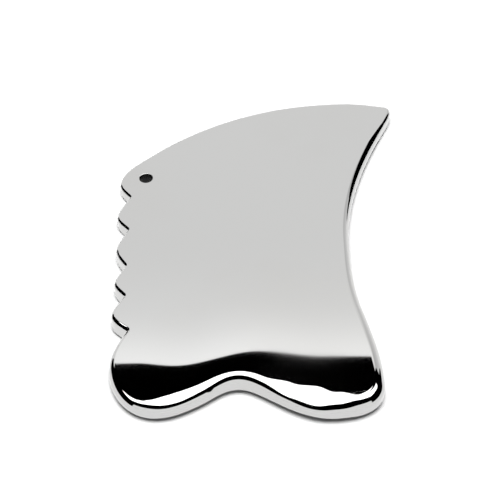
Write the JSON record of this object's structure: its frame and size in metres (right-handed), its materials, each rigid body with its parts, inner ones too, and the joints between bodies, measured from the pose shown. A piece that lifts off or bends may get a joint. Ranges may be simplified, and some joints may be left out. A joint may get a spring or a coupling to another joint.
{
  "type": "gua sha scraper",
  "caption": "Polished steel hand scraper for massage: a lobed, notched thick end, a scalloped comb side, a concave side, a thin curved end with a pointed tip and a hanging hole.",
  "frame": {"origin": "centre of the bounding box in plan, on the plane of the flat back", "axes": "+X across the plate from the comb side to the concave side, +Y from the lobed thick end to the thin end, +Z from the back face to the front face"},
  "size_m": [0.0884, 0.1334, 0.0084],
  "materials": {
    "polished_steel": "mirror-polished stainless steel"
  },
  "bodies": {
    "root": {"scraper_plate": "polished_steel"}
  },
  "joints": []
}
